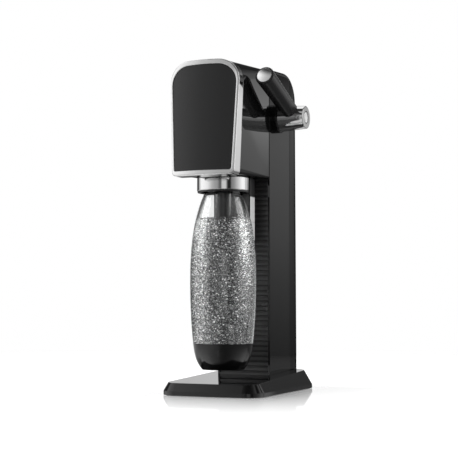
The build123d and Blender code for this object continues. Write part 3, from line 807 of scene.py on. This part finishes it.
def makeStudio(
    leftSide, rightSide, seam, bands, bandEdge, bandTop, behind, lowFront, lowBack,
    ceiling, corner, backFlag, overhead, clearBack,
):
    world = bpy.data.worlds.new("studio")
    scene.world = world
    world.use_nodes = True
    sheet = Sheet(world.node_tree)
    turn = math.radians(cameraSettings["turn"])
    direction = sheet.add("TexCoord", out="Generated")
    level = sheet.vector("MULTIPLY", direction, (1, 1, 0))
    level = sheet.add("VectorMath", {"operation": "NORMALIZE"}, {0: level})
    ahead = sheet.dot(level, (math.sin(turn), -math.cos(turn), 0))
    left = sheet.dot(level, (-math.cos(turn), -math.sin(turn), 0))
    angle = sheet.add("Math", {"operation": "ARCCOSINE"}, {0: ahead}) / math.pi
    signed = sheet.add("Math", {"operation": "ARCTAN2"}, {0: left, 1: ahead}) / math.pi
    height = sheet.along("Z", direction)

    lefthand = sheet.fade(left, -seam, seam)
    tone = sheet.tint(lefthand, sheet.ramp(rightSide, angle), sheet.ramp(leftSide, angle))
    sharp, soft = bandEdge
    for place, half, value, heights in bands:
        off = sheet.absolute(signed - place)
        band = sheet.fade(off, half * sharp, half * soft, 1, 0)
        band = band * sheet.fade(height, *heights) * sheet.fade(height, *bandTop)
        tone = sheet.tint(band, tone, grey(value))

    rear = sheet.fade(angle, *behind)
    shade = sheet.tint(rear, sheet.fade(height, *lowFront), sheet.fade(height, *lowBack))
    multiply = {"data_type": "RGBA", "blend_type": "MULTIPLY"}
    tone = sheet.add("Mix", multiply, {0: 1.0, 6: tone, 7: shade}, 2)

    cornerAngles, cornerHeights = corner
    inCorner = (1 - lefthand) * sheet.fade(angle, *cornerAngles) * sheet.fade(height, *cornerHeights)
    darkTone, darkHeights = ceiling
    high = sheet.larger(sheet.fade(height, *darkHeights), inCorner)
    high = rear * sheet.fade(height, *backFlag) + (1 - rear) * high
    tone = sheet.tint(high, tone, grey(darkTone))
    brightTone, brightHeights = overhead
    tone = sheet.tint(rear * sheet.fade(height, *brightHeights), tone, grey(brightTone))

    seen = sheet.add("LightPath", out="Is Camera Ray")
    through = sheet.add("LightPath", out="Is Transmission Ray") * sheet.fade(angle, *clearBack)
    tone = sheet.tint(sheet.larger(seen, through), tone, white)
    light = sheet.add("Background", None, {"Color": tone, "Strength": 1.0})
    sheet.add("OutputWorld", None, {"Surface": light})


makeStudio(**studioSettings)

# pale floor that keeps a faint mirror image
floorSettings = {
    "size": 1.4,
    "rim": 64,
    "colour": 0.86,
    "glow": 0.37,
    "cloud": 0.05,
    "mirror": 0.66,
    "gain": 1.6,
    "rough": (0.04, 0.02),
    "reach": 0.38,  # the mirror image fades away from the base
    "shorter": (1.2, 4, 0),  # and sooner at the right and behind
    "fall": 1.5,
    "mirrored": 0.15,  # tone of the floor as the object mirrors it
    "mirroredLeft": (-0.1, 0.1, 0.6),
    "fadeOut": (0.7, 1.3),
}


def makeFloor(
    size, rim, colour, glow, cloud, mirror, gain, rough, reach, shorter, fall,
    mirrored, mirroredLeft, fadeOut,
):
    sheet = newFinish("paleFloor")
    seen = sheet.add("LightPath", out="Is Camera Ray")
    leftFrom, leftTo, leftShare = mirroredLeft
    leftward = sheet.fade(sheet.along("X", sheet.place()), leftFrom, leftTo, leftShare, 0)
    tone = sheet.tint(sheet.larger(seen, leftward), grey(mirrored), grey(colour))
    matt = sheet.add("BsdfDiffuse", None, {"Color": tone})
    shine = sheet.add("Emission", None, {"Color": sheet.tint(seen, black, white), "Strength": glow})
    lit = sheet.add("AddShader", None, {0: matt, 1: shine})
    uneven = rough[0] + rough[1] * sheet.grain(cloud)
    gloss = sheet.add("BsdfGlossy", None, {"Color": grey(gain), "Roughness": uneven})

    baseLow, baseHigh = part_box("base_shell")
    past = sheet.vector("SUBTRACT", sheet.place(), (baseHigh.x, baseHigh.y, 0))
    past = sheet.vector("MULTIPLY", sheet.vector("MAXIMUM", past, (0, 0, 0)), shorter)
    short = sheet.vector("SUBTRACT", (baseLow.x, baseLow.y, 0), sheet.place())
    short = sheet.vector("MAXIMUM", short, (0, 0, 0))
    away = sheet.length(sheet.vector("ADD", past, short))
    near = sheet.larger(1 - away / reach, 0)
    share = mirror * sheet.add("Math", {"operation": "POWER"}, {0: near, 1: fall})
    gone = sheet.fade(sheet.length(sheet.place()), *fadeOut)
    sheet.show(sheet.blend(gone, sheet.blend(share, lit, gloss), sheet.add("BsdfTransparent")))

    points = [(0, 0, 0)]
    for i in range(rim):
        turn = fullTurn * i / rim
        points.append((size * math.cos(turn), size * math.sin(turn), 0))
    faces = [(0, 1 + i, 1 + (i + 1) % rim) for i in range(rim)]
    floor = newShape("floor", points, faces, "paleFloor")


makeFloor(**floorSettings)

# bright card at the right, behind the object, seen only in what is glossy
cardSettings = {
    "middle": (0.5, 0.95),
    "width": 0.9,
    "foot": -0.05,
    "top": 1.0,
    # where each zone starts, and its tones from the foot up
    "zones": [
        (
            (0.0, 0.01),
            [
                (0.0, 0.05), (0.2, 0.11), (0.37, 0.14), (0.43, 0.4), (0.5, 0.68), (0.54, 0.7),
                (0.58, 0.55), (0.64, 0.32), (0.8, 0.24), (0.87, 0.12), (0.94, 0.03), (1.0, 0.03),
            ],
        ),
        (
            (0.34, 0.356),
            [
                (0.0, 0.06), (0.1, 0.12), (0.2, 0.2), (0.3, 0.31), (0.48, 0.45),
                (0.54, 0.45), (0.58, 0.22), (0.63, 0.04), (1.0, 0.03),
            ],
        ),
        (
            (0.44, 0.46),
            [
                (0.0, 0.4), (0.38, 0.64), (0.46, 0.7), (0.54, 0.75),
                (0.57, 0.6), (0.6, 0.05), (1.0, 0.03),
            ],
        ),
    ],
}


def makeCard(middle, width, foot, top, zones):
    sheet = newFinish("brightCard")
    across = sheet.along("X", sheet.place())
    share = (sheet.along("Z", sheet.place()) - foot) / (top - foot)
    tone = black
    for start, tones in zones:
        tone = sheet.tint(sheet.fade(across, *start), tone, sheet.ramp(tones, share))
    sheet.show(sheet.add("Emission", None, {"Color": tone, "Strength": 1.0}))
    x, y = middle
    low = x - width / 2
    high = x + width / 2
    points = [(low, y, foot), (high, y, foot), (high, y, top), (low, y, top)]
    card = newShape("card", points, [(0, 1, 2, 3)], "brightCard")
    card.visible_camera = False
    card.visible_diffuse = False
    card.visible_transmission = False
    card.visible_shadow = False


makeCard(**cardSettings)

# lamps, turned towards the object
lampSettings = {
    "leftBox": {"spot": (-1.5, -0.6, 0.9), "size": 1.1, "power": 14},
    "rightBox": {"spot": (1.6, 0.7, 0.9), "size": 1.1, "power": 18},
    "topBox": {"spot": (0.0, -0.3, 1.8), "size": 1.4, "power": 12},
}
lampTarget = Vector((0, 0, 0.2))


def makeLamp(name, spot, size, power):
    data = bpy.data.lights.new(name, "AREA")
    data.size = size
    data.energy = power
    lamp = bpy.data.objects.new(name, data)
    lamp.location = spot
    lamp.rotation_euler = (lampTarget - lamp.location).to_track_quat("-Z", "Y").to_euler()
    lamp.visible_glossy = False
    scene.collection.objects.link(lamp)


for name, settings in lampSettings.items():
    makeLamp(name, **settings)
scene.view_settings.view_transform = "Standard"
print("studio lit")

print("done")
